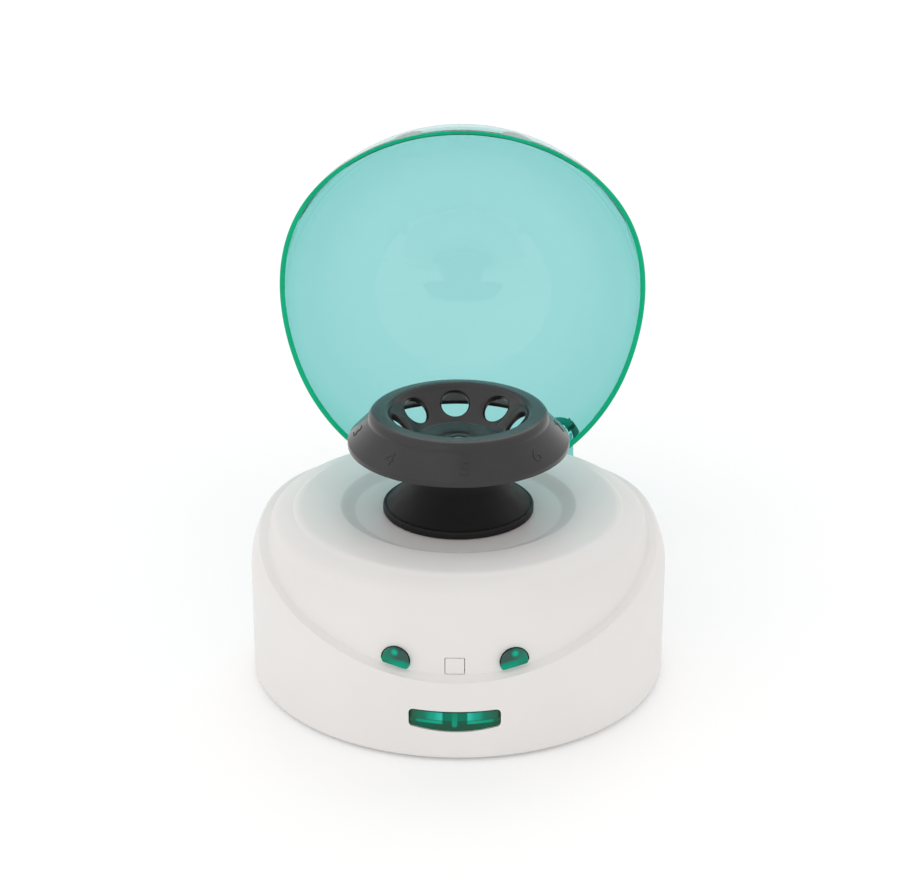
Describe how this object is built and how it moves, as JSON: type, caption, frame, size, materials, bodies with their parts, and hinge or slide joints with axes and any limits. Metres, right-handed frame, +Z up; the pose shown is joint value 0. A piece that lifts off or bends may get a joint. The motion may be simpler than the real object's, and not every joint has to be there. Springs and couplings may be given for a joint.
{
  "type": "mini centrifuge",
  "caption": "Bench mini centrifuge: round white body, angled black tube rotor on a rubber boot, and a tinted dome lid hinged open at the back.",
  "frame": {"origin": "on the rotor's axis, at the height of the feet's soles, 1.2 mm below the flat underside of the bottom cover", "axes": "+Z up along the rotor's axis, -Y to the front with the release button, +X to the right seen from the front"},
  "size_m": [0.16, 0.2369, 0.1945],
  "materials": {
    "housing_plastic": "satin warm white",
    "cover_plastic": "matte warm white",
    "lid_clear": "clear, tinted green",
    "green_clear": "clear, deep green",
    "rotor_plastic": "satin charcoal",
    "rubber": "matte black",
    "black_plastic": "matte black",
    "white_plastic": "matte white",
    "board": "green solder mask",
    "steel": "zinc plated",
    "aluminium": "sheet"
  },
  "bodies": {
    "base": {"housing": "housing_plastic", "bottom_cover": "cover_plastic", "boot": "rubber", "motor": "steel", "motor_plate": "aluminium", "lid_switch": "black_plastic", "control_board": "board", "board_capacitor": "black_plastic", "board_regulator": "black_plastic", "board_connector": "white_plastic", "power_inlet": "black_plastic", "power_switch_frame": "black_plastic", "hinge_pin_left": "steel", "hinge_pin_right": "steel", "release_spring_left": "steel", "release_spring_right": "steel", "foot_1": "rubber", "foot_2": "rubber", "foot_3": "rubber", "foot_4": "rubber", "cover_screw_1": "steel", "cover_screw_2": "steel", "cover_screw_3": "steel", "cover_screw_4": "steel", "motor_damper_1": "rubber", "motor_damper_2": "rubber", "motor_damper_3": "rubber", "plate_screw_1": "steel", "plate_screw_2": "steel", "plate_screw_3": "steel", "motor_screw_1": "steel", "motor_screw_2": "steel", "board_screw_1": "steel", "board_screw_2": "steel", "board_screw_3": "steel", "board_screw_4": "steel"},
    "lid": {"lid": "lid_clear"},
    "spindle": {"rotor": "rotor_plastic", "motor_shaft": "steel", "rotor_screw": "steel"},
    "release": {"release_button": "green_clear", "latch_yoke": "green_clear"},
    "tab": {"lid_tab": "housing_plastic"},
    "plunger": {"switch_plunger": "white_plastic"},
    "rocker": {"power_rocker": "black_plastic"}
  },
  "joints": [
    {"name": "lid_hinge", "type": "hinge", "parent": "base", "child": "lid", "pos_m": [0, 0.0718, 0.0424], "axis": [1, 0, 0], "range_deg": [0, 93.6]},
    {"name": "rotor_spin", "type": "hinge", "parent": "base", "child": "spindle", "pos_m": [0, 0, 0.09], "axis": [0, 0, 1], "continuous": true},
    {"name": "release_slide", "type": "slide", "parent": "base", "child": "release", "axis": [0, 1, 0], "range_m": [0, 0.003], "stiffness_N_per_m": 300, "springref_m": -0.002},
    {"name": "tab_hinge", "type": "hinge", "parent": "base", "child": "tab", "pos_m": [0, -0.076, 0.0409], "axis": [1, 0, 0], "range_deg": [0, 8], "stiffness_Nm_per_rad": 0.02, "springref_deg": -2.86},
    {"name": "plunger_slide", "type": "slide", "parent": "base", "child": "plunger", "axis": [0, 1, 0], "range_m": [0, 0.0007]},
    {"name": "rocker_tilt", "type": "hinge", "parent": "base", "child": "rocker", "pos_m": [0.012, 0.0718, 0.023], "axis": [0, 0, 1], "range_deg": [0, 20]}
  ],
  "couplings": [
    {"joint": "plunger_slide", "follows": "tab_hinge", "m_per_rad": 0.0045}
  ]
}
